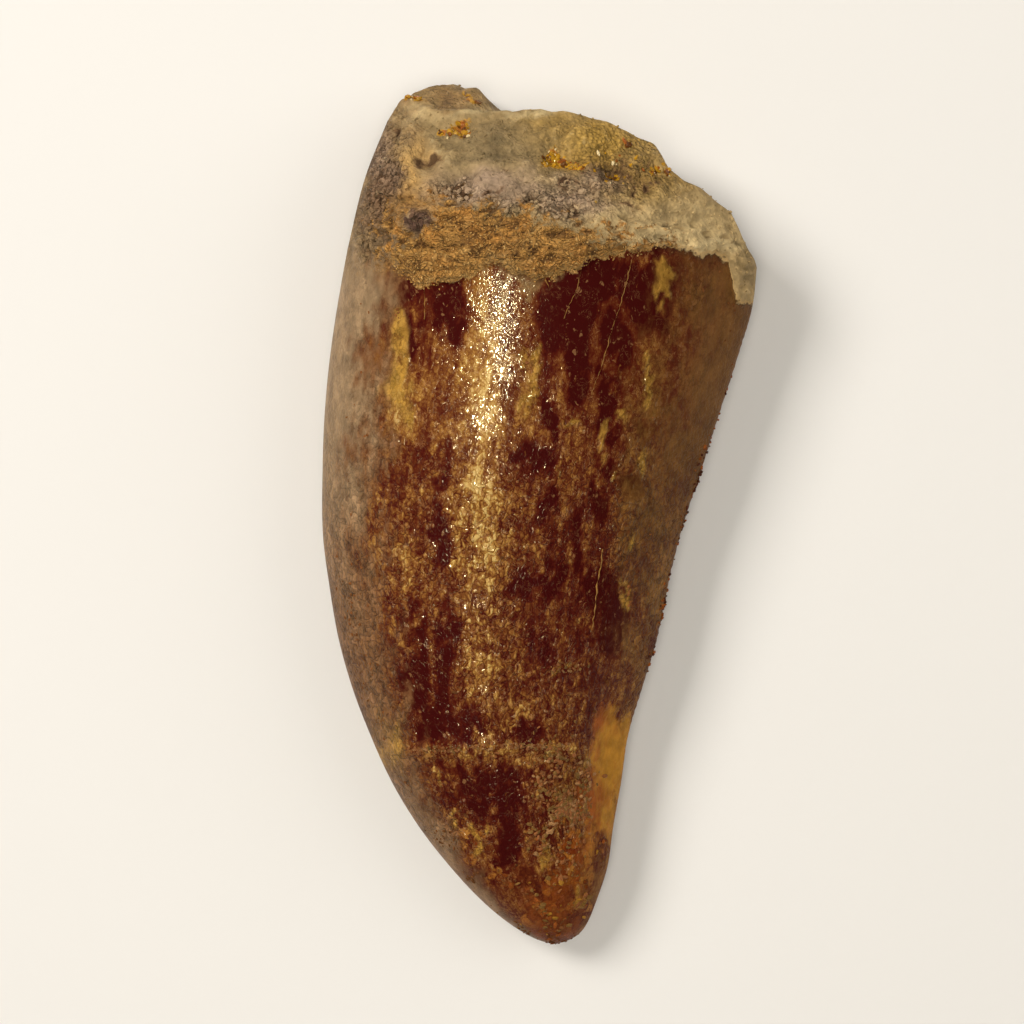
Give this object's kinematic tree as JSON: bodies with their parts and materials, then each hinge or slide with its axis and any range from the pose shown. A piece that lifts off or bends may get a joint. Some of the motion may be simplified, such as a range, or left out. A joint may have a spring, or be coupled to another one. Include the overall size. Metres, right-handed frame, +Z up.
{
  "type": "fossil theropod tooth",
  "caption": "Large curved fossil tooth with a rounded front edge, a serrated rear edge, a sandy neck and a broken root, lying on its inner face.",
  "frame": {"origin": "centre of the bounding box's underside: the plane that the tooth lies on", "axes": "+Z up, out of the outer face that the light falls on; +Y along the tooth from the tip to the broken root; +X to the serrated rear edge"},
  "size_m": [0.0364, 0.0728, 0.0173],
  "materials": {
    "fossil_tooth": "worn fossil enamel, oxblood to golden brown, with sandy ochre crust and pale dentine at the root"
  },
  "bodies": {
    "root": {"tooth": "fossil_tooth"}
  },
  "joints": []
}
